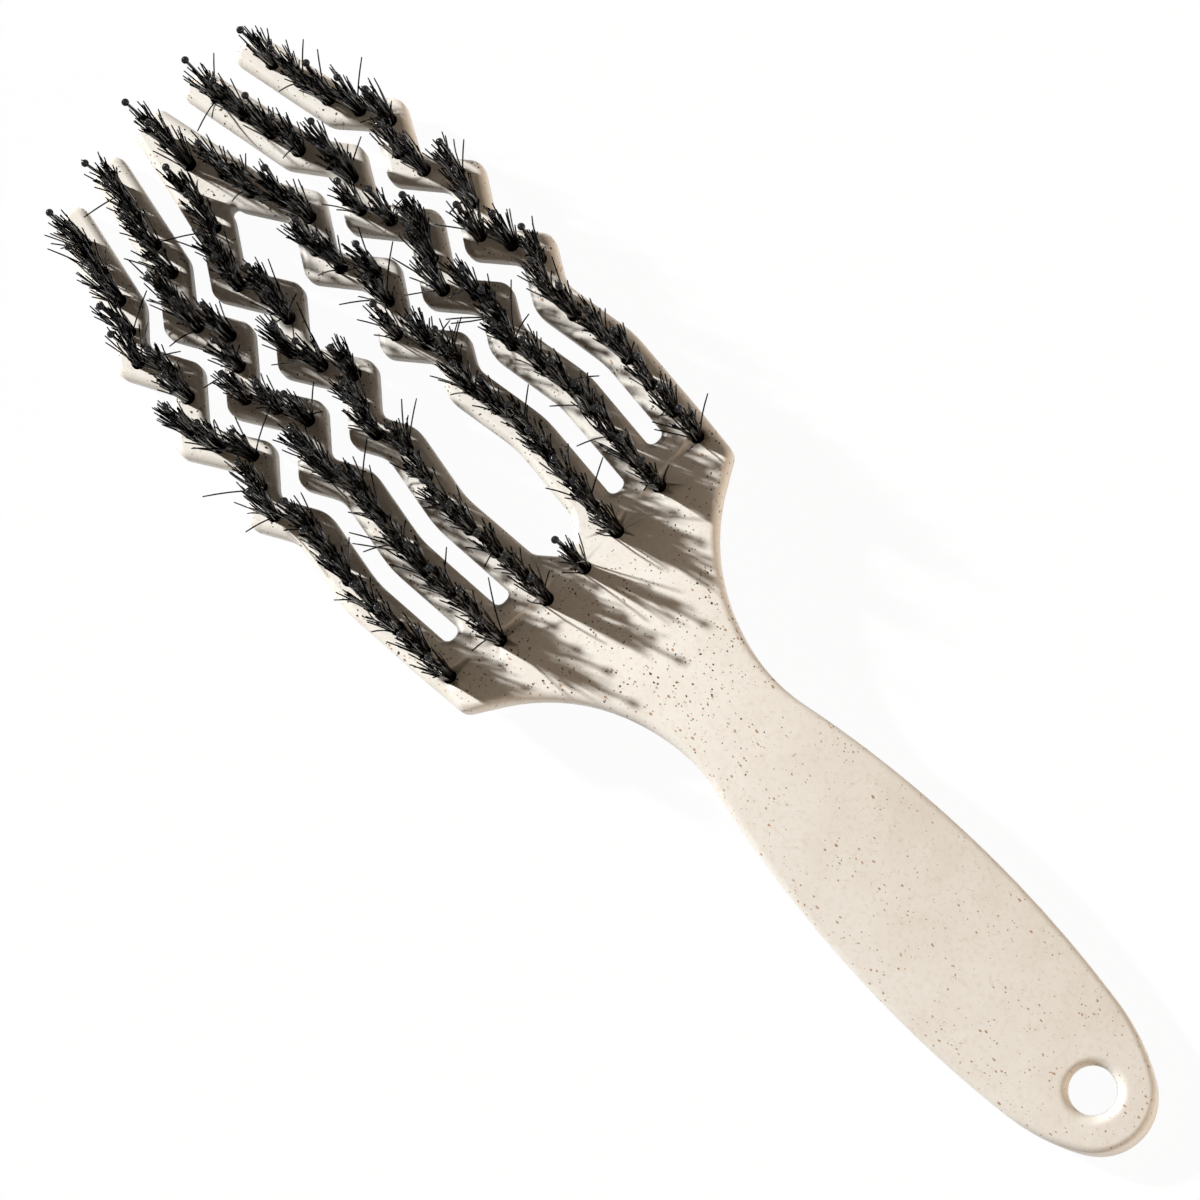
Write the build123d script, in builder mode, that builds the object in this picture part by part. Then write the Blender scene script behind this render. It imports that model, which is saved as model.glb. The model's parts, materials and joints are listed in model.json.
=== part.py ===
"""Vented finger paddle brush: one moulded body, tufts, ball-tipped pins and tuft anchors.

The brush lies on its back with the bristles up. X runs along it, from the finger tips to the
hanging hole, and Y across it. The head is drawn flat on its own plane, which is pitched so that
the nose and the end of the handle touch the ground together. Places along the brush are measured
from the middle of the palm, negative towards the tips, and places across it from its axis.
"""

from build123d import *
import os
from math import acos, atan2, cos, degrees, radians, sin, sqrt, tan

# ---------------------------------------------------------------- driving dimensions, mm
# Fingers
finger_thickness = 4.5
finger_width = 7.2
finger_tip_width = 6.5
first_kink = -96.2
tip_run = 25.0
nose_reach = tip_run - first_kink
tip_arc_radius = 90.0
tip_arc_span = 50.0
tip_corner_radius = 2.2
edge_radius = 1.4
lobe_radius = 3.0
lobe_lean = 0.1

# Slots and the central opening
inner_slot_end = -11.6
outer_slot_end = -13.2
slot_corner_radius = 1.3
opening_tip_reach = 3.6
opening_tip_radius = 0.8
opening_cheek_end = -14.0
opening_cheek_radius = 3.0
opening_end = -10.4
opening_end_half_width = 1.5

# Palm, neck and handle
palm_corner_along = -2.4
palm_corner_half_width = 31.4
palm_corner_radius = 2.6
neck_along = 31.0
neck_half_width = 9.6
flank_slope = 57.75
neck_thickness = 8.6
swell_radius = 28.0
grip_along = 79.5
grip_half_width = 14.87
grip_thickness = 10.4
shoulder_along = 106.0
handle_end = 123.75
end_radius = 10.0
end_thickness = 7.4

# Bend of the handle away from the bristles, and the crowns of its two faces
bend_start = 8.0
bend_radius = 220.0
bend_angle = 13.0
crown_start = 2.0
crown_radius = 60.0
back_radius = 34.0

# Hanging hole
hole_radius = 4.1
hole_from_end = 9.85
hole_rim_radius = 1.7

# Tufts: the first and last of the inner, middle and outer finger, and those on the axis
tuft_pitch = 6.2
inner_tuft_from_kink = 6.8
middle_tuft_from_nose = 6.9
outer_tuft_from_nose = 9.6
first_tufts = (
    first_kink - inner_tuft_from_kink,
    middle_tuft_from_nose - nose_reach,
    outer_tuft_from_nose - nose_reach,
)
last_tufts = (-6.4, -7.0, -8.6)
nose_tufts_from_nose = (6.2, 12.4)
palm_tuft = -5.8
axis_tufts = [place - nose_reach for place in nose_tufts_from_nose] + [palm_tuft]
tuft_hole_radius = 1.3
tuft_hole_depth = 3.2
plug_clearance = 0.05
plug_recess = 0.3
strands_in_tuft = 3
strand_root_depth = 0.9
strand_root_offset = 0.69
strand_root_width = 0.42
strand_tip_offset = 1.25
strand_tip_width = 0.36
bristle_height = 16.5

# Ball-tipped pins
pin_radius = 0.28
pin_offset = 0.58
pin_clearance = 0.05
ball_radius = 0.68
pin_height = 18.5

# Tuft anchors
anchor_length = 2.2
anchor_thickness = 0.4
anchor_height = 1.4
anchor_offset = -0.35
anchor_clearance = 0.05

# Stations of the inner finger's wavy centre line, tips first: place along the brush, place
# across it, spacing to the next finger out, and bend radius
wave = (
    (-nose_reach, 0.0, 10.35, 0.0),
    (first_kink, 4.6, 10.55, 5.0),
    (-88.0, 9.55, 10.6, lobe_radius),
    (-78.3, 3.95, 10.95, lobe_radius),
    (-69.4, 10.65, 11.05, lobe_radius),
    (-58.6, 4.25, 11.0, lobe_radius),
    (-50.9, 10.35, 11.05, lobe_radius),
    (-45.0, 7.15, 10.4, 6.0),
    (-30.0, 9.5, 10.35, 20.0),
    (-12.5, 8.15, 10.35, 60.0),
)
# The stations that lie nearer the tips on the outer fingers
leaning = range(2, 7)
fingers_on_a_side = 3

# Working allowances: how far cutting shapes run past the body, the spacing of the handle's
# sections, how much wider than the plan its bar is, and the share of the neck it narrows over
overrun = 12.0
section_pitch = 7.5
bar_margin = 2.5
bar_end_narrowing = 4.4
bar_neck_share = 0.8

# The flat head meets the bent handle at a seam just behind the central opening. Two points on
# the seam count as one within the tolerance, and an edge this nearly upright counts as upright.
seam_setback = 0.7
seam_tolerance = 0.03
upright_share = 0.99
flat_end = opening_end + seam_setback


# ---------------------------------------------------------------- shared geometry
def ease(at, start, stop):
    """0 before start, 1 after stop, and a smooth rise between them."""
    share = min(max((at - start) / (stop - start), 0.0), 1.0)
    return share * share * (3 - 2 * share)


def drop(along):
    """How far the upper face's middle lies under the head's plane."""
    if along <= bend_start:
        return 0.0
    arc_end = bend_start + bend_radius * sin(radians(bend_angle))
    reach = min(along, arc_end) - bend_start
    fall = bend_radius - sqrt(bend_radius**2 - reach**2)
    return fall + max(along - arc_end, 0.0) * tan(radians(bend_angle))


def thickness(along):
    """Thickness on the axis: thin fingers, a stout neck and grip, a thinner end."""
    neck = (neck_thickness - finger_thickness) * ease(along, 0, neck_along)
    grip = (grip_thickness - neck_thickness) * ease(along, neck_along, grip_along)
    end = (grip_thickness - end_thickness) * ease(along, grip_along, handle_end)
    return finger_thickness + neck + grip - end


def finger_point(station, rank, side=0.0):
    """A station of a finger. Rank 0 is the inner one; side is a share of its half width."""
    along, across, spacing, _ = wave[station]
    width = finger_tip_width if station == 0 else finger_width
    lean = lobe_lean * rank * spacing if station in leaning else 0.0
    return along - lean, across + rank * spacing + side * width / 2


def finger_edge(rank, side):
    """The points of a finger's edge or centre line, run on past its tip."""
    points = [finger_point(station, rank, side) for station in range(len(wave))]
    (tip_along, tip_across), (kink_along, kink_across) = points[:2]
    slope = (kink_across - tip_across) / (kink_along - tip_along)
    points[0] = (tip_along - overrun, tip_across - slope * overrun)
    return points


wave_radii = [station[3] for station in wave]

# The head's pitch, from the rounded lower edges of the nose and of the handle's end
nose_edge = (-nose_reach + edge_radius, -finger_thickness + edge_radius)
end_edge = (handle_end - edge_radius, -drop(handle_end) - thickness(handle_end) + edge_radius)
head_pitch = degrees(atan2(nose_edge[1] - end_edge[1], end_edge[0] - nose_edge[0]))
pitch_sin = sin(radians(head_pitch))
pitch_cos = cos(radians(head_pitch))
ground = nose_edge[0] * pitch_sin + nose_edge[1] * pitch_cos - edge_radius
nose_x = nose_edge[0] * pitch_cos + edge_radius * pitch_sin - edge_radius
end_x = end_edge[0] * pitch_cos - end_edge[1] * pitch_sin + edge_radius

head_plane = Plane(
    origin=(-(nose_x + end_x) / 2, 0, -ground),
    x_dir=(pitch_cos, 0, pitch_sin),
    z_dir=(-pitch_sin, 0, pitch_cos),
)


def cross_plane(along):
    """The plane across the brush at a place along it: local X across, local Y up."""
    origin = head_plane.from_local_coords((along, 0, 0))
    return Plane(origin=origin, x_dir=(0, 1, 0), z_dir=head_plane.x_dir)


# ---------------------------------------------------------------- brush body
# Plan of the whole body, drawn on the head's plane
palm_corner = Vector(palm_corner_along, palm_corner_half_width)

# The flank slopes straight down from the palm's corner. Its foot is where it would reach the
# neck's width, and the hollow arc of the neck spans as far before the foot as after it.
flank_direction = Vector(cos(radians(flank_slope)), -sin(radians(flank_slope)))
flank_height = palm_corner_half_width - neck_half_width
flank_foot = palm_corner + flank_direction * (flank_height / -flank_direction.Y)
flank_end = flank_foot - flank_direction * (neck_along - flank_foot.X)

# The handle swells from the neck to the grip, then narrows along one long arc to its shoulder
swell_length = grip_along - neck_along
swell_height = grip_half_width - neck_half_width
swell_angle = 2 * atan2(swell_height, swell_length)
side_radius = swell_length / sin(swell_angle) - swell_radius
side_centre = Vector(grip_along, grip_half_width - side_radius)
shoulder_angle = acos((shoulder_along - grip_along) / side_radius)
shoulder_normal = Vector(cos(shoulder_angle), sin(shoulder_angle))
shoulder = side_centre + shoulder_normal * side_radius

# A shoulder arc joins it to the rounded end
end_centre = Vector(handle_end - end_radius, 0)
to_shoulder = shoulder - end_centre
spare_width = to_shoulder.dot(shoulder_normal) - end_radius
shoulder_radius = (to_shoulder.dot(to_shoulder) - end_radius**2) / (2 * spare_width)
shoulder_centre = shoulder - shoulder_normal * shoulder_radius
end_direction = (end_centre - shoulder_centre).normalized()
end_start = end_centre + end_direction * end_radius

with BuildSketch(head_plane) as plan:
    outer_edge = finger_edge(fingers_on_a_side - 1, 1)
    with BuildLine():
        FilletPolyline(
            *outer_edge,
            palm_corner,
            flank_end,
            radius=wave_radii[1:] + [palm_corner_radius],
        )
        neck_arc = TangentArc(flank_end, (neck_along, neck_half_width), tangent=flank_direction)
        swell_end = side_centre + Vector(-sin(swell_angle), cos(swell_angle)) * side_radius
        swell_arc = TangentArc(neck_arc @ 1, swell_end, tangent=neck_arc % 1)
        side_arc = TangentArc(swell_arc @ 1, shoulder, tangent=swell_arc % 1)
        shoulder_arc = TangentArc(side_arc @ 1, end_start, tangent=side_arc % 1)
        TangentArc(shoulder_arc @ 1, (handle_end, 0), tangent=shoulder_arc % 1)
        mirror(about=Plane.XZ)
        Line(outer_edge[0], (outer_edge[0][0], -outer_edge[0][1]))
    make_face()

    # The slots between the fingers, open at the tips
    for rank, slot_end in enumerate((inner_slot_end, outer_slot_end)):
        near = finger_edge(rank, 1)
        far = finger_edge(rank + 1, -1)
        near[-1] = (slot_end, near[-1][1])
        far[-1] = (slot_end, far[-1][1])
        slot_radii = [0] + wave_radii[1:-1] + [slot_corner_radius]
        with BuildLine():
            FilletPolyline(*near, *far[::-1], radius=slot_radii + slot_radii[::-1], close=True)
        slot = make_face(mode=Mode.SUBTRACT)
        mirror(slot, about=Plane.XZ, mode=Mode.SUBTRACT)

    # The central opening: two diamonds and a long oval with a blunt end at the palm
    cheek = [finger_point(station, 0, -1) for station in range(1, len(wave) - 1)]
    cheek.append((opening_cheek_end, finger_point(len(wave) - 1, 0, -1)[1]))
    cheek.append((opening_end, opening_end_half_width))
    opening_tip = (cheek[0][0] - opening_tip_reach, 0)
    other_cheek = [(along, -across) for along, across in cheek[::-1]]
    cheek_radii = wave_radii[1:-1] + [opening_cheek_radius, opening_end_half_width]
    with BuildLine():
        FilletPolyline(
            opening_tip,
            *cheek,
            *other_cheek,
            radius=[opening_tip_radius] + cheek_radii + cheek_radii[::-1],
            close=True,
        )
    make_face(mode=Mode.SUBTRACT)

    # The tips end on a shallow arc
    with BuildLine():
        tip_arc_centre = (tip_arc_radius - nose_reach, 0)
        tip_arc_start = 180 - tip_arc_span / 2
        tip_arc = CenterArc(tip_arc_centre, tip_arc_radius, tip_arc_start, tip_arc_span)
        Polyline(
            tip_arc @ 0,
            (-nose_reach - 2 * overrun, (tip_arc @ 0).Y),
            (-nose_reach - 2 * overrun, (tip_arc @ 1).Y),
            tip_arc @ 1,
        )
    make_face(mode=Mode.SUBTRACT)
    tip_corners = plan.vertices().filter_by_position(Axis.X, -nose_reach, -nose_reach + overrun / 2)
    fillet(tip_corners, tip_corner_radius)


def bar_half_width(along):
    """Half width of the bar that the handle is cut from, everywhere wider than the plan."""
    palm_to_neck = palm_corner_half_width - neck_half_width
    neck = (palm_to_neck + bar_margin) * ease(along, 0, bar_neck_share * neck_along)
    grip = (grip_half_width - neck_half_width) * ease(along, neck_along, grip_along)
    end = bar_end_narrowing * ease(along, grip_along, handle_end)
    return palm_corner_half_width + 2 * bar_margin - neck + grip - end


def crest(half_width, height, sag):
    """The bar's upper or lower line: straight on the palm, an arc where it is crowned."""
    side = height - sag
    if sag == 0:
        return Line((-half_width, side), (half_width, side))
    return ThreePointArc((-half_width, side), (0, height), (half_width, side))


def on_seam(edge):
    """True for an edge where the head and the handle meet."""
    return abs(head_plane.to_local_coords(edge.center()).X - flat_end) < seam_tolerance


def is_upright(edge):
    """True for an edge that stands between two side walls."""
    return abs(edge.tangent_at(0.5).dot(head_plane.z_dir)) > upright_share


# The head, flat as far as the palm. The opening's rims and the outer ones are rounded in turn.
with BuildPart() as head:
    extrude(plan.sketch, amount=-finger_thickness)
    split(bisect_by=cross_plane(flat_end), keep=Keep.BOTTOM)
    flat_faces = head.faces().filter_by(head_plane)
    opening_rims = [face.inner_wires().edges() for face in flat_faces]
    fillet(sum(opening_rims, ShapeList()), edge_radius)
    flat_faces = head.faces().filter_by(head_plane)
    outer_rims = [face.outer_wire().edges() for face in flat_faces]
    fillet([edge for edge in sum(outer_rims, ShapeList()) if not on_seam(edge)], edge_radius)

# The palm's end, the neck and the handle: a crowned bar, bent at the neck, cut to the plan
sections = round((handle_end + bar_margin - crown_start) / section_pitch)
stations = [flat_end, (flat_end + crown_start) / 2]
stations += [crown_start + section_pitch * number for number in range(sections + 1)]

# The hanging hole stands square to the bent handle
hole_along = handle_end - hole_from_end
tilt_sin = sin(radians(bend_angle))
tilt_cos = cos(radians(bend_angle))
hole_plane = Plane(
    origin=head_plane.from_local_coords((hole_along, 0, -drop(hole_along))),
    x_dir=head_plane.x_dir * tilt_cos - head_plane.z_dir * tilt_sin,
    z_dir=head_plane.x_dir * tilt_sin + head_plane.z_dir * tilt_cos,
)

with BuildPart() as handle:
    for along in stations:
        half_width = bar_half_width(along)
        top = -drop(along)
        bottom = top - thickness(along)
        crown = ease(along, crown_start, neck_along) * half_width**2 / 2
        with BuildSketch(cross_plane(along)):
            with BuildLine():
                upper = crest(half_width, top, crown / crown_radius)
                lower = crest(half_width, bottom, -crown / back_radius)
                Line(upper @ 0, lower @ 0)
                Line(upper @ 1, lower @ 1)
            make_face()
    loft()
    extrude(plan.sketch, amount=handle_end, both=True, mode=Mode.INTERSECT)
    rims = [edge for edge in handle.edges() if not is_upright(edge) and not on_seam(edge)]
    fillet(rims, edge_radius)


# Tuft places on each finger, evenly spaced along its centre line, and on the axis
def row_places(rank, side):
    """Tuft places of one finger on the side of positive (1) or negative (-1) Y."""
    centre = finger_edge(rank, 0)
    (tip_along, tip_across), (kink_along, kink_across) = centre[:2]
    share = (first_tufts[rank] - tip_along) / (kink_along - tip_along)
    centre[0] = (first_tufts[rank], tip_across + share * (kink_across - tip_across))
    centre.append((last_tufts[rank], centre[-1][1]))
    row = FilletPolyline(*centre, radius=wave_radii[1:])
    steps = round(row.length / tuft_pitch)
    points = [row @ (step / steps) for step in range(steps + 1)]
    return [(point.X, side * point.Y) for point in points]


ranks = range(fingers_on_a_side)
rows = {}
for rank in reversed(ranks):
    rows[f"row_{len(rows) + 1}"] = row_places(rank, 1)
for rank in ranks:
    rows[f"row_{len(rows) + 1}"] = row_places(rank, -1)
rows["centre"] = [(along, 0.0) for along in axis_tufts]

with BuildPart() as brush_body:
    add(head.part.fuse(handle.part, tol=seam_tolerance))
    with BuildSketch(hole_plane):
        Circle(hole_radius)
    extrude(amount=grip_thickness, both=True, mode=Mode.SUBTRACT)
    hole_rims = [edge for edge in brush_body.edges(Select.LAST) if edge.geom_type != GeomType.LINE]
    fillet(hole_rims, hole_rim_radius)
    with BuildSketch(head_plane.offset(overrun)):
        for places in rows.values():
            with Locations(*places):
                Circle(tuft_hole_radius)
    extrude(amount=-tuft_hole_depth - overrun, mode=Mode.SUBTRACT)

# ---------------------------------------------------------------- one tuft, pin and anchor
# Each is made once on its own axis, on the floor of a hole whose mouth lies at height 0
anchor_section = (anchor_length, anchor_thickness)
notch_section = [size + 2 * anchor_clearance for size in anchor_section]
strand_root = (-strand_root_depth, strand_root_offset, strand_root_width)
strand_tip = (bristle_height, strand_tip_offset, strand_tip_width)

with BuildPart() as anchor:
    with BuildSketch(Plane.XY.offset(-tuft_hole_depth)):
        with Locations((0, anchor_offset)):
            Rectangle(*anchor_section)
    extrude(amount=anchor_height)

with BuildPart() as pin:
    with BuildSketch(Plane.XY.offset(-tuft_hole_depth)):
        with Locations((0, pin_offset)):
            Circle(pin_radius)
    extrude(amount=tuft_hole_depth + pin_height - ball_radius)
    with Locations((0, pin_offset, pin_height - ball_radius)):
        Sphere(ball_radius)

with BuildPart() as tuft:
    with BuildSketch(Plane.XY.offset(-tuft_hole_depth)):
        Circle(tuft_hole_radius - plug_clearance)
        with Locations((0, pin_offset)):
            Circle(pin_radius + pin_clearance, mode=Mode.SUBTRACT)
    extrude(amount=tuft_hole_depth - plug_recess)
    with BuildSketch(Plane.XY.offset(-tuft_hole_depth)):
        with Locations((0, anchor_offset)):
            Rectangle(*notch_section)
    extrude(amount=anchor_height + anchor_clearance, mode=Mode.SUBTRACT)
    for strand in range(strands_in_tuft):
        turn = strand * 360 / strands_in_tuft - 90
        for height, offset_out, width in (strand_root, strand_tip):
            with BuildSketch(Plane.XY.offset(height)):
                with PolarLocations(offset_out, 1, turn):
                    Rectangle(width, width)
        loft()

# ---------------------------------------------------------------- rows, and the files
pieces = {"brush_body": brush_body.part}
for row_name, places in rows.items():
    for kind, template in (("bristles", tuft), ("ball_pins", pin), ("anchors", anchor)):
        with BuildPart(head_plane) as row_part:
            with Locations(*places):
                add(template.part)
        pieces[f"{kind}_{row_name}"] = row_part.part

os.makedirs("parts", exist_ok=True)
for name, piece in pieces.items():
    piece.label = name
    export_step(piece, f"parts/{name}.step")
    print(name, len(piece.solids()), round(piece.volume, 2))
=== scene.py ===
"""Looks of a vented finger paddle brush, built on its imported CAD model.

The brush lies on its back with the bristles up. X runs from the finger tips to the hanging hole,
Y across the brush and Z up. Sizes are written in millimetres and turned to metres where a mesh
or a pattern is made.
"""

import json
import logging
import math
from dataclasses import dataclass
from enum import Enum

import bpy
import numpy as np
from mathutils import Matrix, Vector

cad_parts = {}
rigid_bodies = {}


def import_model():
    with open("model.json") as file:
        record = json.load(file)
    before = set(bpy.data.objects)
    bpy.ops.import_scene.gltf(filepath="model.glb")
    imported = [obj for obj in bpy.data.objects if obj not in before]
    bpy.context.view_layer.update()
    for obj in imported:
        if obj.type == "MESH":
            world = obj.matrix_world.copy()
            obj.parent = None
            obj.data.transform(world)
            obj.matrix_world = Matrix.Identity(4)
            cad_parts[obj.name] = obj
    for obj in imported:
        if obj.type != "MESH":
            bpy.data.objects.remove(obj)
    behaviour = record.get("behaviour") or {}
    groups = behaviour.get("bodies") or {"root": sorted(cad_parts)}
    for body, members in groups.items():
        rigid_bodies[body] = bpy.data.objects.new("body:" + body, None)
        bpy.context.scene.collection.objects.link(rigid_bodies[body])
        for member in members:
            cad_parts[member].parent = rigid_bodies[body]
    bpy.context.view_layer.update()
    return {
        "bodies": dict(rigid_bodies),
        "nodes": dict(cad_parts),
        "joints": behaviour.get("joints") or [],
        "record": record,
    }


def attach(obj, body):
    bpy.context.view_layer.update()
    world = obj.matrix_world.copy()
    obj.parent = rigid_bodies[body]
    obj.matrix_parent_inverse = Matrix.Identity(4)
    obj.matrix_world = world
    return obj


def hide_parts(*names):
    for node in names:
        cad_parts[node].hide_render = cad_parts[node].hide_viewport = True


MM = 0.001
MM_PER_METRE = 1000
WHITE = "ffffff"
LOG = logging.getLogger("brush")

Pair = tuple[float, float]
Triple = tuple[float, float, float]
Tree = bpy.types.NodeTree
Socket = bpy.types.NodeSocket


class Slot(Enum):
    """The record's material slots, by name."""

    BODY = "body_plastic"
    BRISTLE = "bristle_nylon"
    PIN = "pin_nylon"


# ------------------------------------------------------------------------------ small helpers
def linear(hex_colour: str) -> tuple[float, float, float, float]:
    """Turn an sRGB hex colour to linear light.

    Args:
        hex_colour: Six hex digits, such as "e8dfd2".

    Returns:
        Red, green, blue and full opacity. Each channel c is c / 12.92 up to 0.04045, and above
        that ((c + 0.055) / 1.055) to the power of 2.4.
    """
    channels = [int(hex_colour[start : start + 2], 16) / 255 for start in (0, 2, 4)]
    lit = [c / 12.92 if c <= 0.04045 else ((c + 0.055) / 1.055) ** 2.4 for c in channels]
    return (lit[0], lit[1], lit[2], 1.0)


def add_node(
    tree: Tree,
    kind: str,
    links: dict[str | int, Socket] | None = None,
    values: dict[str | int, object] | None = None,
    **settings: object,
) -> bpy.types.Node:
    """Add a node with its settings, constant inputs and links.

    Args:
        tree: The node tree that gets the node.
        kind: The node's type name.
        links: Input socket name or number, and the output socket that feeds it.
        values: Input socket name or number, and its constant.
        **settings: The node's own properties.

    Returns:
        The new node.
    """
    node = tree.nodes.new(kind)
    for name, value in settings.items():
        setattr(node, name, value)
    for socket, value in (values or {}).items():
        node.inputs[socket].default_value = value
    for socket, source in (links or {}).items():
        tree.links.new(source, node.inputs[socket])
    return node


def span(window: Pair, level: Pair = (0.0, 1.0)) -> dict[str, float]:
    """Return a Map Range node's limits: the window of its input, and the levels at its ends."""
    return dict(zip(("From Min", "From Max", "To Min", "To Max"), window + level))


def blank_material(name: str) -> tuple[bpy.types.Material, Tree]:
    """Make an empty node material.

    Args:
        name: The finish's name.

    Returns:
        The material and its node tree.
    """
    material = bpy.data.materials.new(name)
    material.use_nodes = True
    material.node_tree.nodes.clear()
    return material, material.node_tree


def read_field(items: object, field: str, width: int, kind: type = np.float32) -> np.ndarray:
    """Read one field of a mesh's vertices, faces or corners as an array.

    Args:
        items: The mesh's collection.
        field: The field's name.
        width: How many numbers each item has.
        kind: The numbers' type.

    Returns:
        One row for each item, or one number where the width is 1.
    """
    values = np.empty(len(items) * width, kind)
    items.foreach_get(field, values)
    return values if width == 1 else values.reshape(-1, width)


def settle(piece: bpy.types.Object) -> bpy.types.Mesh:
    """Give a piece the mesh that its modifiers make, and drop the modifiers.

    Args:
        piece: The object with live modifiers.

    Returns:
        The piece's new mesh.
    """
    graph = bpy.context.evaluated_depsgraph_get()
    mesh = bpy.data.meshes.new_from_object(piece.evaluated_get(graph))
    piece.modifiers.clear()
    piece.data = mesh
    return mesh


def mesh_piece(
    name: str,
    points: np.ndarray,
    faces: list[list[int]],
    material: bpy.types.Material,
) -> bpy.types.Object:
    """Make a smooth-shaded mesh object at the origin.

    Args:
        name: The piece's name.
        points: Vertex places in metres, one row each.
        faces: Vertex numbers of each face, turning left seen from outside.
        material: The finish.

    Returns:
        The linked object.
    """
    mesh = bpy.data.meshes.new(name)
    mesh.from_pydata(points.tolist(), [], faces)
    mesh.materials.append(material)
    mesh.shade_smooth()
    piece = bpy.data.objects.new(name, mesh)
    bpy.context.scene.collection.objects.link(piece)
    return piece


def tubes(paths: np.ndarray, radii: np.ndarray, sides: int) -> tuple[np.ndarray, list[list[int]]]:
    """Carry a ring of points along many paths at once and close both ends.

    The ring at each path point is centre + radius * (a * cos(turn) + b * sin(turn)), where a and
    b are square to the path there and to each other.

    Args:
        paths: Centre points, shaped (tubes, rings, 3).
        radii: Radius at each centre point, shaped (tubes, rings).
        sides: Points in a ring.

    Returns:
        The vertices, one row each, and the faces.
    """
    count, rings, _ = paths.shape
    tangent = np.gradient(paths, axis=1)
    tangent /= np.linalg.norm(tangent, axis=2, keepdims=True)
    across = np.cross(np.array([0.0, 1.0, 0.0]), tangent)
    across /= np.linalg.norm(across, axis=2, keepdims=True)
    other = np.cross(tangent, across)
    turn = np.arange(sides) * 2 * np.pi / sides
    ring = across[:, :, None] * np.cos(turn)[:, None] + other[:, :, None] * np.sin(turn)[:, None]
    points = paths[:, :, None] + radii[:, :, None, None] * ring

    number = np.arange(count * rings * sides).reshape(count, rings, sides)
    turned = np.roll(number, -1, axis=2)
    walls = np.stack([number[:, :-1], turned[:, :-1], turned[:, 1:], number[:, 1:]], axis=-1)
    faces = walls.reshape(-1, 4).tolist()
    faces += number[:, -1].tolist()
    faces += number[:, 0, ::-1].tolist()
    return points.reshape(-1, 3), faces


# ------------------------------------------------------------------------------ finishes
@dataclass(frozen=True)
class Patches:
    """Soft random patches of one mean size.

    Noise is cut to a window of its values, and the window is stretched to two levels. Detail and
    raggedness say how broken a patch's edge is.
    """

    size_mm: float
    detail: float
    window: Pair
    level: Pair
    raggedness: float = 0.5

    def build(self, tree: Tree, place: Socket) -> Socket:
        """Add the patches to a material.

        Args:
            tree: The material's node tree.
            place: Object coordinates in metres.

        Returns:
            A socket that goes from the first level to the second across the window.
        """
        noise = add_node(
            tree,
            "ShaderNodeTexNoise",
            {"Vector": place},
            {
                "Scale": MM_PER_METRE / self.size_mm,
                "Detail": self.detail,
                "Roughness": self.raggedness,
            },
        )
        stretched = add_node(
            tree,
            "ShaderNodeMapRange",
            {"Value": noise.outputs["Fac"]},
            span(self.window, self.level),
        )
        return stretched.outputs["Result"]


@dataclass(frozen=True)
class Fleck:
    """One kind of husk or straw in the plastic.

    The flecks lie in cells of a mean pitch, and only a share of the cells has one. The cells are
    shifted, turned and squeezed first, so that each kind lies apart and a fleck is long one way.
    The shift is in metres and the turn in radians.
    """

    colour: str
    pitch_mm: float
    radius_mm: float
    share: float
    edge_mm: float = 0.03
    shift: Triple = (0.0, 0.0, 0.0)
    turn: Triple = (0.0, 0.0, 0.0)
    squeeze: Triple = (1.0, 1.0, 1.0)

    def mask(self, tree: Tree, place: Socket, crowd: Socket) -> Socket:
        """Make a mask of these flecks.

        A fleck is where the distance to a cell's seed is under a radius that the cell's own
        random value sets.

        Args:
            tree: The material's node tree.
            place: Coordinates in metres.
            crowd: How large the flecks are here, as a share of their full size.

        Returns:
            A socket that is 1 in a fleck and 0 elsewhere.
        """
        laid = add_node(
            tree,
            "ShaderNodeMapping",
            {"Vector": place},
            {"Location": self.shift, "Rotation": self.turn, "Scale": self.squeeze},
        )
        cells = add_node(
            tree,
            "ShaderNodeTexVoronoi",
            {"Vector": laid.outputs[0]},
            {"Scale": MM_PER_METRE / self.pitch_mm},
            feature="F1",
        )
        split = add_node(tree, "ShaderNodeSeparateColor", {"Color": cells.outputs["Color"]})
        radius = add_node(
            tree,
            "ShaderNodeMapRange",
            {"Value": split.outputs["Red"]},
            span((1 - self.share, 1.0), (0.0, self.radius_mm / self.pitch_mm)),
        )
        grown = add_node(
            tree,
            "ShaderNodeMath",
            {0: radius.outputs["Result"], 1: crowd},
            operation="MULTIPLY",
        )
        inside = add_node(
            tree,
            "ShaderNodeMath",
            {0: grown.outputs[0], 1: cells.outputs["Distance"]},
            operation="SUBTRACT",
        )
        mask = add_node(
            tree,
            "ShaderNodeMapRange",
            {"Value": inside.outputs[0]},
            span((0.0, self.edge_mm / self.pitch_mm)),
        )
        return mask.outputs["Result"]


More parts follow.
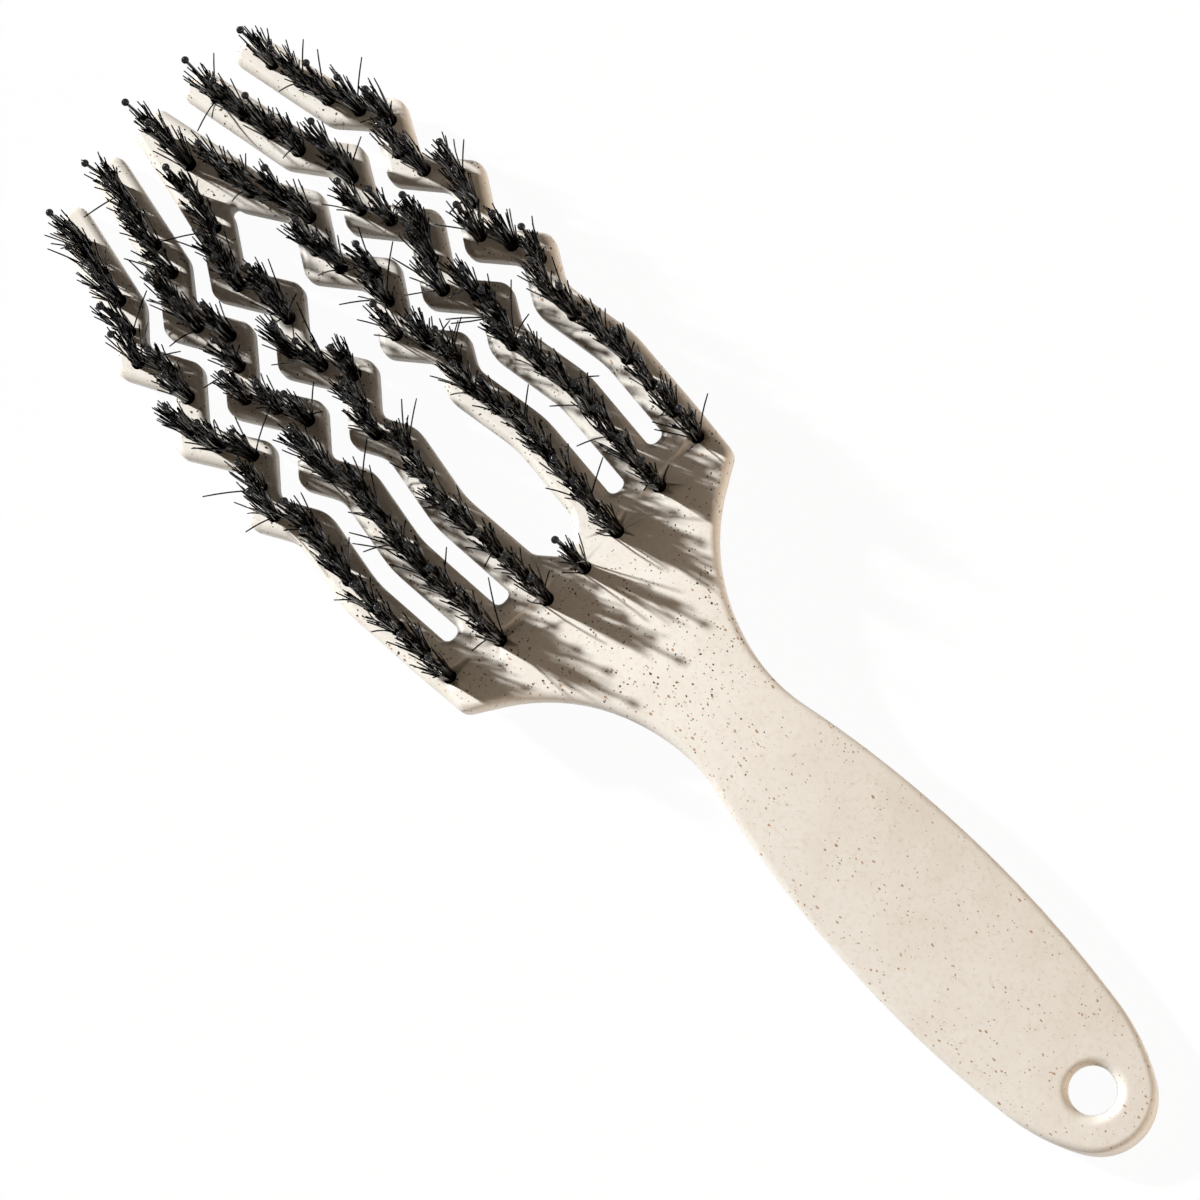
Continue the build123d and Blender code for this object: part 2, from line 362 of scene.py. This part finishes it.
@dataclass(frozen=True)
class StrawFilledBioplastic:
    """Injection-moulded bioplastic filled with ground straw.

    It gives the eye a warm cream, satin surface. Ground husk shows as dark and tan flecks of 0.1
    to 0.5 mm in loose clusters, the dark ones finer on the handle, with a few longer straw
    fibres and a faint cloudiness. The grain of the mould, about 0.1 mm on the real one, is drawn
    at 0.35 mm, because it is too fine to show.
    """

    base: str = "e3dfd7"
    cloud_colour: str = "dad3c9"
    cloud: Patches = Patches(
        size_mm=9.0, detail=4.0, window=(0.42, 0.68), level=(0.0, 0.6), raggedness=0.6
    )
    mottle_colour: str = "d1c5b4"
    mottle: Patches = Patches(
        size_mm=0.9, detail=3.0, window=(0.5, 0.75), level=(0.0, 0.6), raggedness=0.7
    )
    # Smoother and rougher patches, around the 0.42 of a satin moulded plastic.
    satin: Patches = Patches(
        size_mm=9.0, detail=4.0, window=(0.3, 0.7), level=(0.37, 0.49), raggedness=0.6
    )
    # The flecks of all kinds are largest in the same loose clusters.
    clusters: Patches = Patches(size_mm=5.0, detail=2.0, window=(0.36, 0.62), level=(0.5, 1.15))
    fibre: Fleck = Fleck(
        colour="c9b594",
        pitch_mm=3.0,
        radius_mm=0.3,
        share=0.3,
        turn=(0.3, 0.2, 0.9),
        squeeze=(0.22, 1.6, 1.6),
    )
    tan: Fleck = Fleck(
        colour="a98a6c",
        pitch_mm=0.75,
        radius_mm=0.22,
        share=0.75,
        turn=(0.1, 0.4, -0.6),
        squeeze=(0.62, 1.15, 1.15),
    )
    dark: Fleck = Fleck(
        colour="27190e",
        pitch_mm=0.6,
        radius_mm=0.19,
        share=0.6,
        shift=(0.013, 0.027, 0.005),
        squeeze=(0.85, 1.1, 1.1),
    )
    # The dark flecks shrink along X, over the neck.
    neck_mm: Pair = (15.0, 50.0)
    neck_crowd: Pair = (1.1, 0.62)
    # The flecks' outlines are pushed about by a finer noise, so that they aren't round.
    waver_mm: float = 0.6
    waver_detail: float = 2.0
    waver_reach_mm: float = 0.5
    grain_mm: float = 0.35
    grain_detail: float = 3.0
    grain_strength: float = 0.12
    grain_depth_mm: float = 0.03
    ior: float = 1.47

    def blend(self, tree: Tree, share: Socket, under: Socket, colour: str) -> Socket:
        """Lay a colour over another where a share is 1.

        Args:
            tree: The material's node tree.
            share: How much of the colour shows.
            under: The colour so far.
            colour: The new colour, as sRGB hex.

        Returns:
            The blended colour's socket.
        """
        mix = add_node(
            tree,
            "ShaderNodeMix",
            {0: share, 6: under},
            {7: linear(colour)},
            data_type="RGBA",
        )
        return mix.outputs[2]

    def wavering(self, tree: Tree, place: Socket) -> Socket:
        """Push coordinates about: place + (noise - 0.5) * reach, on each axis by itself.

        Args:
            tree: The material's node tree.
            place: Object coordinates in metres.

        Returns:
            The pushed coordinates' socket.
        """
        middle = (0.5, 0.5, 0.5)
        reach = (self.waver_reach_mm * MM,) * 3
        waver = add_node(
            tree,
            "ShaderNodeTexNoise",
            {"Vector": place},
            {"Scale": MM_PER_METRE / self.waver_mm, "Detail": self.waver_detail},
        )
        offset = add_node(
            tree,
            "ShaderNodeVectorMath",
            {0: waver.outputs["Color"]},
            {1: middle},
            operation="SUBTRACT",
        )
        pushed = add_node(
            tree,
            "ShaderNodeVectorMath",
            {0: offset.outputs[0], 2: place},
            {1: reach},
            operation="MULTIPLY_ADD",
        )
        return pushed.outputs[0]

    def dark_crowd(self, tree: Tree, place: Socket, crowd: Socket) -> Socket:
        """Make the dark flecks' crowding, which falls from the neck to the handle.

        Args:
            tree: The material's node tree.
            place: Object coordinates in metres.
            crowd: The clusters' crowding.

        Returns:
            The crowding times a factor that follows X.
        """
        along = add_node(tree, "ShaderNodeSeparateXYZ", {"Vector": place})
        start, end = self.neck_mm
        thinning = add_node(
            tree,
            "ShaderNodeMapRange",
            {"Value": along.outputs["X"]},
            span((start * MM, end * MM), self.neck_crowd),
        )
        product = add_node(
            tree,
            "ShaderNodeMath",
            {0: crowd, 1: thinning.outputs["Result"]},
            operation="MULTIPLY",
        )
        return product.outputs[0]

    def material(self) -> bpy.types.Material:
        """Build the material, from its cloudy base up to the flecks and the grain.

        Returns:
            The material.
        """
        made, tree = blank_material("straw_filled_bioplastic_moulded")
        place = add_node(tree, "ShaderNodeTexCoord").outputs["Object"]
        base = add_node(tree, "ShaderNodeRGB").outputs[0]
        base.default_value = linear(self.base)
        colour = self.blend(tree, self.cloud.build(tree, place), base, self.cloud_colour)
        colour = self.blend(tree, self.mottle.build(tree, place), colour, self.mottle_colour)

        pushed = self.wavering(tree, place)
        crowd = self.clusters.build(tree, place)
        thinned = self.dark_crowd(tree, place, crowd)
        for fleck, level in ((self.fibre, crowd), (self.tan, crowd), (self.dark, thinned)):
            colour = self.blend(tree, fleck.mask(tree, pushed, level), colour, fleck.colour)

        grain = add_node(
            tree,
            "ShaderNodeTexNoise",
            {"Vector": place},
            {"Scale": MM_PER_METRE / self.grain_mm, "Detail": self.grain_detail},
        )
        bump = add_node(
            tree,
            "ShaderNodeBump",
            {"Height": grain.outputs["Fac"]},
            {"Strength": self.grain_strength, "Distance": self.grain_depth_mm * MM},
        )
        shader = add_node(
            tree,
            "ShaderNodeBsdfPrincipled",
            {
                "Base Color": colour,
                "Roughness": self.satin.build(tree, place),
                "Normal": bump.outputs["Normal"],
            },
            {"IOR": self.ior},
        )
        add_node(tree, "ShaderNodeOutputMaterial", {"Surface": shader.outputs[0]})
        return made


@dataclass(frozen=True)
class DrawnNylon:
    """Drawn nylon filament, dyed black in the melt.

    It gives the eye a deep black with thin bright lines. Most filaments are drawn dull, and
    those whose shade passes a window are glossy. A piece without a shade is dull all over.
    """

    name: str = "black_nylon_filament_drawn"
    dark: str = "050404"
    light: str = "0c0a09"
    roughness: float = 0.12
    ior: float = 1.5
    glossy_window: Pair = (0.5, 0.7)
    dull_level: float = 0.03
    bright_level: float = 1.0

    def material(self) -> bpy.types.Material:
        """Build the material, whose colour and gloss follow each filament's own shade.

        Returns:
            The material.
        """
        made, tree = blank_material(self.name)
        shade = add_node(tree, "ShaderNodeAttribute", attribute_name="shade")
        base = add_node(
            tree,
            "ShaderNodeMix",
            {0: shade.outputs["Fac"]},
            {6: linear(self.dark), 7: linear(self.light)},
            data_type="RGBA",
        )
        level = add_node(
            tree,
            "ShaderNodeMapRange",
            {"Value": shade.outputs["Fac"]},
            span(self.glossy_window, (self.dull_level, self.bright_level)),
        )
        shader = add_node(
            tree,
            "ShaderNodeBsdfPrincipled",
            {"Base Color": base.outputs[2], "Specular IOR Level": level.outputs["Result"]},
            {"Roughness": self.roughness, "IOR": self.ior},
        )
        add_node(tree, "ShaderNodeOutputMaterial", {"Surface": shader.outputs[0]})
        return made


@dataclass(frozen=True)
class TinnedWire:
    """Tinned steel staple wire, rolled flat.

    It gives the eye a dull silver with faint rolling streaks, whose roughness goes 0.1 either
    way from the 0.35 of rolled tin.
    """

    base: str = "b9b7b2"
    streaks: Patches = Patches(size_mm=0.2, detail=2.0, window=(0.0, 1.0), level=(0.25, 0.45))

    def material(self) -> bpy.types.Material:
        """Build the material.

        Returns:
            The material.
        """
        made, tree = blank_material("tinned_steel_wire_rolled")
        place = add_node(tree, "ShaderNodeTexCoord").outputs["Object"]
        shader = add_node(
            tree,
            "ShaderNodeBsdfPrincipled",
            {"Roughness": self.streaks.build(tree, place)},
            {"Base Color": linear(self.base), "Metallic": 1.0},
        )
        add_node(tree, "ShaderNodeOutputMaterial", {"Surface": shader.outputs[0]})
        return made


# ------------------------------------------------------------------------------ the brush
@dataclass(frozen=True)
class HeadPlane:
    """The flat upper side of the fingers, which carries the tufts.

    u runs along the brush from the middle of the palm, negative towards the tips, v across it
    and w up from the plane, all in millimetres.
    """

    origin: Triple = (-2.6568, 0.0, 16.2209)
    pitch: float = math.radians(5.6218)

    def axes(self) -> np.ndarray:
        """Return the directions of u, v and w in the row frame, one a row."""
        s, c = math.sin(self.pitch), math.cos(self.pitch)
        return np.array([[c, 0.0, s], [0.0, 1.0, 0.0], [-s, 0.0, c]])

    def to_row(self, points: np.ndarray) -> np.ndarray:
        """Turn (u, v, w) in millimetres to row-frame metres: origin + u*U + v*V + w*W."""
        return (np.array(self.origin) + points @ self.axes()) * MM

    def from_row(self, points: np.ndarray) -> np.ndarray:
        """Turn row-frame metres to (u, v, w) in millimetres."""
        return (points / MM - np.array(self.origin)) @ self.axes().T


@dataclass
class MouldedBody:
    """The one-piece moulded body: fingers, palm, neck, handle and hanging hole."""

    plane: HeadPlane
    node: str = "brush_body"
    merge_mm: float = 0.0005
    crease: float = math.radians(38)
    flat_mm: float = 0.003
    # Above 50, a corner's normal leans to the largest of its faces.
    large_face_weight: int = 80

    def build(self, frame: dict, finish: bpy.types.Material) -> bpy.types.Object:
        """Copy the CAD body, close its seams and shade it smoothly.

        Args:
            finish: The body's material.

        Returns:
            The body's piece.
        """
        mesh = frame["nodes"][self.node].data.copy()
        mesh.name = "moulded_body"
        piece = bpy.data.objects.new("moulded_body", mesh)
        bpy.context.scene.collection.objects.link(piece)
        weld = piece.modifiers.new("weld", "WELD")
        weld.merge_threshold = self.merge_mm * MM
        merged = settle(piece)
        merged.materials.clear()
        merged.materials.append(finish)
        merged.shade_smooth()
        merged.set_sharp_from_angle(angle=self.crease)
        even = piece.modifiers.new("even_normals", "WEIGHTED_NORMAL")
        even.mode = "FACE_AREA"
        even.weight = self.large_face_weight
        even.keep_sharp = True
        self.level_normals(settle(piece))
        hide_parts(self.node)
        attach(piece, "root")
        return piece

    def level_normals(self, mesh: bpy.types.Mesh) -> None:
        """Make the shading of the fingers' flat upper side exactly flat, up to its rounded rim.

        A corner that lies in the head's plane gets the plane's own normal, unless its face turns
        away from the plane by more than the crease.

        Args:
            mesh: The body's mesh, with its corner normals worked out.
        """
        upwards = self.plane.axes()[2]
        points = read_field(mesh.vertices, "co", 3).astype(float)
        height = self.plane.from_row(points)[:, 2]
        corner = read_field(mesh.loops, "vertex_index", 1, np.int32)
        towards = read_field(mesh.polygons, "normal", 3) @ upwards
        towards = np.repeat(towards, read_field(mesh.polygons, "loop_total", 1, np.int32))
        normals = read_field(mesh.corner_normals, "vector", 3)
        level = (np.abs(height[corner]) < self.flat_mm) & (towards > math.cos(self.crease))
        normals[level] = upwards
        mesh.normals_split_custom_set(normals.tolist())


@dataclass
class TuftRow:
    """One row of tufts: nylon filaments, with a ball-tipped pin standing in each tuft.

    Lengths are in millimetres. A lean is how far a tip stands from over its root, along u and v,
    and a spread is the standard deviation of a random draw.
    """

    name: str
    seed: int
    plane: HeadPlane
    hole_depth: float = 3.2

    # The pins. Near the finger tips, from lean_change on, they lean the other way.
    pin_offset: float = 0.58
    pin_radius: float = 0.28
    ball_radius: float = 0.68
    pin_height: float = 18.5
    pin_lean: Pair = (1.15, -0.35)
    pin_lean_spread: float = 0.4
    tip_pin_lean: Pair = (-1.5, -0.7)
    lean_change: float = -84.0
    lean_run: float = 26.0
    pin_seed_step: int = 100
    ball_rings: int = 9
    ball_foot_turn: float = 0.12
    ball_top_turn: float = 0.14
    ball_margin: float = 0.1
    pin_sides: int = 12

    # The filaments, with a few strays that lean far out.
    filaments: int = 40
    filament_radius: float = 0.14
    filament_rings: int = 6
    filament_sides: int = 5
    tip_taper: float = 0.8
    root_radius: float = 1.08
    root_depth: float = 0.8
    height: float = 15.1
    height_spread: float = 0.25
    most_short: float = 7.5
    short_power: float = 1.6
    inner_short: float = 0.5
    tip_flare: float = 2.1
    lean_spread: float = 0.65
    lean_power: float = 1.4
    tuft_tilt: float = 0.4
    bow_spread: float = 0.16
    stray_share: float = 0.035
    stray_lean: Pair = (2.5, 7.5)
    shade_power: int = 2

    # The heel of each tuft, from the bottom of its hole up to just under the rim.
    heel_heights: Triple = (-1.2, -0.45, -0.3)
    heel_radii: tuple[float, ...] = (1.24, 1.24, 1.1, 0.6)
    heel_sides: int = 12

    def places(self, frame: dict) -> np.ndarray:
        """Find the tufts' places from the balls of the CAD pins.

        The balls' points are put in order along u and split wherever the next is more than a
        ball's radius further on.


        Returns:
            (u, v) of each tuft's middle, one row each.
        """
        mesh = frame["nodes"][f"ball_pins_{self.name}"].data
        local = self.plane.from_row(read_field(mesh.vertices, "co", 3).astype(float))
        balls = local[local[:, 2] > self.pin_height - 2 * self.ball_radius + self.ball_margin]
        balls = balls[np.argsort(balls[:, 0])]
        breaks = np.flatnonzero(np.diff(balls[:, 0]) > self.ball_radius) + 1
        groups = np.split(balls, breaks)
        middles = np.array([(group.min(0) + group.max(0)) / 2 for group in groups])
        return middles[:, :2] - np.array([0.0, self.pin_offset])

    def filament_paths(self, places: np.ndarray, chance: np.random.Generator) -> np.ndarray:
        """Work out every filament's centre line.

        A filament rises from a root r inside the hole to a tip at r * flare plus a random lean.
        Between them its place is root + height * t upwards and lean * t to the lean's power
        sideways, with a slight bow of sin(pi * t). The outer filaments are cut shorter at random.

        Args:
            places: (u, v) of each tuft.
            chance: The row's own random numbers.

        Returns:
            Points (u, v, w), shaped (filaments, rings, 3).
        """
        each = (len(places), self.filaments)
        turn = chance.uniform(0, 2 * np.pi, each)
        reach = self.root_radius * np.sqrt(chance.uniform(0, 1, each))
        root = np.stack([reach * np.cos(turn), reach * np.sin(turn)], axis=-1)
        tilt = chance.normal(0, self.tuft_tilt, (len(places), 1, 2))
        lean = root * (self.tip_flare - 1) + chance.normal(0, self.lean_spread, root.shape) + tilt
        stray = chance.uniform(0, 1, each) < self.stray_share
        away = chance.uniform(0, 2 * np.pi, each)
        far = chance.uniform(*self.stray_lean, each)
        lean += stray[..., None] * far[..., None] * np.stack([np.cos(away), np.sin(away)], axis=-1)
        short = chance.uniform(0, 1, each) ** self.short_power * self.most_short
        short *= self.inner_short + (1 - self.inner_short) * (reach / self.root_radius) ** 2
        tall = self.height + chance.normal(0, self.height_spread, each) - short
        tall -= np.linalg.norm(lean, axis=-1) ** 2 / (2 * self.height)
        bow = chance.normal(0, self.bow_spread, root.shape)

        t = np.linspace(0, 1, self.filament_rings)[:, None]
        sideways = root[..., None, :] + lean[..., None, :] * t**self.lean_power
        sideways += bow[..., None, :] * np.sin(np.pi * t)
        sideways += places[:, None, None, :]
        upwards = -self.root_depth + (tall[..., None, None] + self.root_depth) * t
        paths = np.concatenate([sideways, upwards], axis=-1)
        return paths.reshape(-1, self.filament_rings, 3)

    def build_bristles(self, places: np.ndarray, finish: bpy.types.Material) -> bpy.types.Object:
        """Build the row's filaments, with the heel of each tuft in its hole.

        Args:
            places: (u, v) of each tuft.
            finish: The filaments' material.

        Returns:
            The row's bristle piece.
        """
        chance = np.random.default_rng(self.seed)
        paths = self.filament_paths(places, chance)
        radii = np.full(paths.shape[:2], self.filament_radius)
        radii[:, -1] *= self.tip_taper
        points, faces = tubes(paths, radii, self.filament_sides)
        shade = chance.uniform(0, 1, len(paths)) ** self.shade_power
        shade = np.repeat(shade, self.filament_rings * self.filament_sides)

        heights = (-self.hole_depth,) + self.heel_heights
        heel = np.zeros((len(places), len(heights), 3))
        heel[:, :, :2] = places[:, None]
        heel[:, :, 2] = heights
        heel_radii = np.tile(self.heel_radii, (len(places), 1))
        heel_points, heel_faces = tubes(heel, heel_radii, self.heel_sides)
        faces += [[number + len(points) for number in face] for face in heel_faces]
        points = np.vstack([points, heel_points])
        shade = np.append(shade, np.zeros(len(heel_points)))

        piece = mesh_piece(f"bristle_tufts_{self.name}", self.plane.to_row(points), faces, finish)
        attribute = piece.data.attributes.new("shade", "FLOAT", "POINT")
        attribute.data.foreach_set("value", shade.astype(np.float32))
        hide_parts(f"bristles_{self.name}")
        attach(piece, "root")
        return piece

    def pin_profile(self) -> tuple[np.ndarray, np.ndarray]:
        """Work out a pin's outline, from the bottom of its hole to the top of its ball.

        The radius is constant up the shaft, then follows the ball: ball radius * sin(a) at the
        height centre - ball radius * cos(a), as a goes from the shaft to the top.

        Returns:
            The rings' heights and radii.
        """
        centre = self.pin_height - self.ball_radius
        neck = math.asin(self.pin_radius / self.ball_radius)
        ends = (neck + self.ball_foot_turn, math.pi - self.ball_top_turn)
        angles = np.linspace(*ends, self.ball_rings)
        neck_height = centre - self.ball_radius * math.cos(neck)
        shaft = [-self.hole_depth, neck_height / 2, neck_height]
        heights = np.concatenate([shaft, centre - self.ball_radius * np.cos(angles)])
        radii = np.concatenate([[self.pin_radius] * 3, self.ball_radius * np.sin(angles)])
        return heights, radii

    def build_pins(self, places: np.ndarray, finish: bpy.types.Material) -> bpy.types.Object:
        """Build the row's ball-tipped pins, each leaning a little its own way.

        A pin is straight: its place is foot + lean * (height's share of the whole length).

        Args:
            places: (u, v) of each tuft.
            finish: The pins' material.

        Returns:
            The row's pin piece.
        """
        heights, radii = self.pin_profile()
        chance = np.random.default_rng(self.seed + self.pin_seed_step)
        lean = self.pin_lean + chance.normal(0, self.pin_lean_spread, places.shape)
        near_tips = np.clip((self.lean_change - places[:, :1]) / self.lean_run, 0, 1)
        lean += near_tips * self.tip_pin_lean
        rise = (heights + self.hole_depth) / (self.pin_height + self.hole_depth)
        paths = np.zeros((len(places), len(heights), 3))
        paths[:, :, :2] = (places + np.array([0.0, self.pin_offset]))[:, None]
        paths[:, :, :2] += lean[:, None] * rise[:, None]
        paths[:, :, 2] = heights
        points, faces = tubes(paths, np.tile(radii, (len(places), 1)), self.pin_sides)
        name = f"ball_tipped_pins_{self.name}"
        piece = mesh_piece(name, self.plane.to_row(points), faces, finish)
        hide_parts(f"ball_pins_{self.name}")
        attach(piece, "root")
        return piece


@dataclass
class Anchors:
    """The flat wire staples at the bottom of the tuft holes, kept as their CAD nodes."""

    rows: tuple[str, ...]

    def dress(self, frame: dict, finish: bpy.types.Material) -> int:
        """Give every anchor node its metal.

        Args:
            finish: The wire's material.

        Returns:
            How many nodes were dressed.
        """
        for row in self.rows:
            node = frame["nodes"][f"anchors_{row}"]
            node.data.materials.clear()
            node.data.materials.append(finish)
        return len(self.rows)


# ------------------------------------------------------------------------------ studio
@dataclass(frozen=True)
class Lamp:
    """A far lamp: where it stands, its strength, its width as an angle, and its colour."""

    name: str
    direction: Triple
    strength: float
    width: float
    colour: str = WHITE

    def build(self) -> None:
        """Add the lamp to the scene."""
        data = bpy.data.lights.new(self.name, "SUN")
        data.energy = self.strength
        data.color = linear(self.colour)[:3]
        data.angle = self.width
        lamp = bpy.data.objects.new(self.name, data)
        lamp.rotation_euler = Vector(self.direction).to_track_quat("Z", "Y").to_euler()
        bpy.context.scene.collection.objects.link(lamp)


@dataclass(frozen=True)
class Studio:
    """White sweep, a small key lamp low over the finger tips, and two soft warm fills."""

    key: Lamp = Lamp(
        name="key", direction=(-0.804, -0.276, 0.527), strength=5.5, width=math.radians(2.4)
    )
    side: Lamp = Lamp(
        name="side_fill",
        direction=(0.86, 0.45, 0.17),
        strength=2.0,
        width=math.radians(32),
        colour="ffe8d0",
    )
    fill_strength: float = 0.115
    fill_colour: str = "ffdcb4"
    paper_colour: str = "f2f2f2"
    floor_metres: float = 6.0
    floor_drop_mm: float = 0.05
    # The floor shows as this much of plain white, and keeps the shadow in the rest.
    backdrop_share: float = 0.96

    def background_share(self, tree: Tree, most: float) -> Socket:
        """Tell the rays that see the background from those that light the object.

        Args:
            tree: The floor's or the world's node tree.
            most: The share for rays from the camera, a gloss or a glass.

        Returns:
            A socket that is that share for those rays and 0 for all others.
        """
        path = add_node(tree, "ShaderNodeLightPath").outputs
        seen = path["Is Camera Ray"]
        for kind in ("Is Glossy Ray", "Is Transmission Ray"):
            links = {0: seen, 1: path[kind]}
            seen = add_node(tree, "ShaderNodeMath", links, operation="MAXIMUM").outputs[0]
        share = add_node(tree, "ShaderNodeMath", {0: seen}, {1: most}, operation="MULTIPLY")
        return share.outputs[0]

    def build_floor(self) -> None:
        """Build the white floor, which keeps a pale shadow of the brush."""
        material, tree = blank_material("white_sweep_paper")
        colour = {"Color": linear(self.paper_colour)}
        paper = add_node(tree, "ShaderNodeBsdfDiffuse", values=colour)
        glow_values = {"Color": linear(WHITE), "Strength": 1.0}
        glow = add_node(tree, "ShaderNodeEmission", values=glow_values)
        share = self.background_share(tree, self.backdrop_share)
        links = {0: share, 1: paper.outputs[0], 2: glow.outputs[0]}
        mixed = add_node(tree, "ShaderNodeMixShader", links)
        add_node(tree, "ShaderNodeOutputMaterial", {"Surface": mixed.outputs[0]})
        half = self.floor_metres / 2
        level = -self.floor_drop_mm * MM
        corners = np.array(
            [[-half, -half, level], [half, -half, level], [half, half, level], [-half, half, level]]
        )
        floor = mesh_piece("floor", corners, [[0, 1, 2, 3]], material)

    def build_world(self) -> None:
        """Build the even fill from all round, which the camera sees as white."""
        world = bpy.data.worlds.new("studio")
        bpy.context.scene.world = world
        world.use_nodes = True
        tree = world.node_tree
        tree.nodes.clear()
        fill_values = {"Color": linear(self.fill_colour), "Strength": self.fill_strength}
        fill = add_node(tree, "ShaderNodeBackground", values=fill_values)
        white_values = {"Color": linear(WHITE), "Strength": 1.0}
        white = add_node(tree, "ShaderNodeBackground", values=white_values)
        links = {0: self.background_share(tree, 1.0), 1: fill.outputs[0], 2: white.outputs[0]}
        mixed = add_node(tree, "ShaderNodeMixShader", links)
        add_node(tree, "ShaderNodeOutputWorld", {"Surface": mixed.outputs[0]})

    def build(self) -> None:
        """Build the floor, the lamps and the world."""
        self.build_floor()
        self.key.build()
        self.side.build()
        self.build_world()


@dataclass(frozen=True)
class PhotoCamera:
    """A long lens nearly straight above the brush, turned so that it lies from corner to corner."""

    distance_mm: float = 900.0
    width_mm: float = 200.0
    sensor_mm: float = 36.0
    towards_handle: float = math.radians(12.68)
    towards_side: float = math.radians(1.0)
    roll: float = math.radians(45.72)
    centre_offset_mm: Triple = (0.3, -1.9, 0.0)

    def build(self, plane: HeadPlane) -> None:
        """Place the camera and make it the scene's.

        Args:
            plane: The head's plane, whose origin lies near the middle of the picture.
        """
        back = Vector(
            (
                math.sin(self.towards_handle) * math.cos(self.towards_side),
                -math.sin(self.towards_side),
                math.cos(self.towards_handle) * math.cos(self.towards_side),
            )
        ).normalized()
        along = Vector((1.0, 0.0, 0.0))
        along = (along - along.dot(back) * back).normalized()
        across = back.cross(along)
        right = along * math.cos(self.roll) + across * math.sin(self.roll)
        up = across * math.cos(self.roll) - along * math.sin(self.roll)
        aim = Vector(plane.origin) + Vector(self.centre_offset_mm)
        spot = (aim + back * self.distance_mm) * MM
        data = bpy.data.cameras.new("camera")
        data.sensor_width = self.sensor_mm
        data.lens = self.sensor_mm * self.distance_mm / self.width_mm
        camera = bpy.data.objects.new("camera", data)
        turn = Matrix((right, up, back)).transposed().to_4x4()
        camera.matrix_world = Matrix.Translation(spot) @ turn
        bpy.context.scene.collection.objects.link(camera)
        bpy.context.scene.camera = camera


# ------------------------------------------------------------------------------ the scene
FINGER_ROWS = 6
FIRST_SEED = 11
CENTRE_ROW = "centre"
# The pins of the centre row lean towards the tips, clear of their tufts.
CENTRE_PIN_LEAN = (-0.8, -1.0)


def main() -> None:
    """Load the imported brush, build and dress each piece, and set the studio and camera."""
    logging.basicConfig(level=logging.INFO, format="%(message)s")
    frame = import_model()
    plane = HeadPlane()

    body = MouldedBody(plane).build(frame, StrawFilledBioplastic().material())
    LOG.info("%s: %d faces", body.name, len(body.data.polygons))

    filament = DrawnNylon().material()
    pin = DrawnNylon(name="black_nylon_pin_moulded", roughness=0.13, dull_level=0.25).material()
    rows = tuple(f"row_{number}" for number in range(1, FINGER_ROWS + 1)) + (CENTRE_ROW,)
    for seed, name in enumerate(rows, start=FIRST_SEED):
        row = TuftRow(name, seed, plane)
        if name == CENTRE_ROW:
            row.pin_lean = CENTRE_PIN_LEAN
        places = row.places(frame)
        for piece in (row.build_bristles(places, filament), row.build_pins(places, pin)):
            LOG.info("%s: %d tufts, %d faces", piece.name, len(places), len(piece.data.polygons))

    dressed = Anchors(rows).dress(frame, TinnedWire().material())
    LOG.info("anchors: %d nodes", dressed)

    Studio().build()
    PhotoCamera().build(plane)
    bpy.context.scene.view_settings.view_transform = "Standard"


if __name__ == "__main__":
    main()
